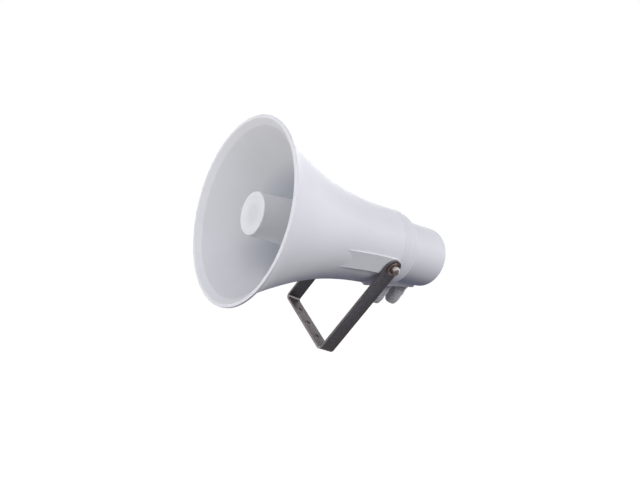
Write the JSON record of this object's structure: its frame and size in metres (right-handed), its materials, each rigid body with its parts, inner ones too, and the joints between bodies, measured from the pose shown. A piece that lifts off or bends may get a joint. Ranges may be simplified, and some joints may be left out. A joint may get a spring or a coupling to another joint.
{
  "type": "pa horn speaker",
  "caption": "Outdoor re-entrant horn loudspeaker with a round flared bell, closed centre cup, rear cap with cable glands, and a tilting U bracket.",
  "frame": {"origin": "centre of the outside face of the bracket's cross bar, on its middle hole", "axes": "+Z from the cross bar up the bracket's legs, +X along the tilt axis, -Y the way the mouth faces"},
  "size_m": [0.21, 0.3212, 0.2102],
  "materials": {
    "horn_plastic": "satin light grey moulded plastic",
    "inner_plastic": "plain dark moulded plastic",
    "gland_plastic": "satin mid grey nylon",
    "rubber": "matt black rubber",
    "driver_casting": "plain cast",
    "surround_film": "thin amber film",
    "dome_resin": "impregnated cloth",
    "coil_copper": "enamelled copper wire",
    "zinc_steel": "zinc plated",
    "ferrite": "ground ceramic",
    "core_steel": "stacked laminations",
    "coil_wrap": "copper winding under yellow film",
    "terminal_plastic": "pale moulded plastic",
    "brass": "turned brass",
    "nylon": "natural nylon",
    "fastener_steel": "stainless, a little stained",
    "bracket_steel": "dark stainless strip with mill grain"
  },
  "bodies": {
    "bracket": {"mounting_bracket": "bracket_steel"},
    "horn": {"horn_bell": "horn_plastic", "reflector_cup": "horn_plastic", "throat_tube": "inner_plastic", "throat_gasket": "rubber", "phase_plug": "driver_casting", "diaphragm_surround": "surround_film", "diaphragm_clamp": "inner_plastic", "top_plate": "zinc_steel", "ferrite_magnet": "ferrite", "pole_piece": "zinc_steel", "driver_screws": "fastener_steel", "housing_gasket": "rubber", "rear_housing": "horn_plastic", "housing_screws": "fastener_steel", "gland_body_front": "gland_plastic", "gland_nut_front": "gland_plastic", "gland_seal_front": "rubber", "gland_body_rear": "gland_plastic", "gland_nut_rear": "gland_plastic", "gland_seal_rear": "rubber", "chassis_plate": "zinc_steel", "transformer_core": "core_steel", "transformer_coil": "coil_wrap", "transformer_strap": "zinc_steel", "terminal_block": "terminal_plastic", "threaded_insert_left": "brass", "friction_washer_left": "nylon", "flat_washer_left": "fastener_steel", "spring_washer_left": "fastener_steel", "pivot_bolt_left": "fastener_steel", "threaded_insert_right": "brass", "friction_washer_right": "nylon", "flat_washer_right": "fastener_steel", "spring_washer_right": "fastener_steel", "pivot_bolt_right": "fastener_steel"},
    "diaphragm": {"diaphragm_dome": "dome_resin", "voice_coil": "coil_copper"}
  },
  "joints": [
    {"name": "horn_tilt", "type": "hinge", "parent": "bracket", "child": "horn", "pos_m": [0, 0, 0.1394], "axis": [1, 0, 0], "range_deg": [-238, 42]},
    {"name": "diaphragm_travel", "type": "slide", "parent": "horn", "child": "diaphragm", "axis": [0, -0.9856, -0.1692], "range_m": [-0.0004, 0.0004], "stiffness_N_per_m": 500}
  ]
}
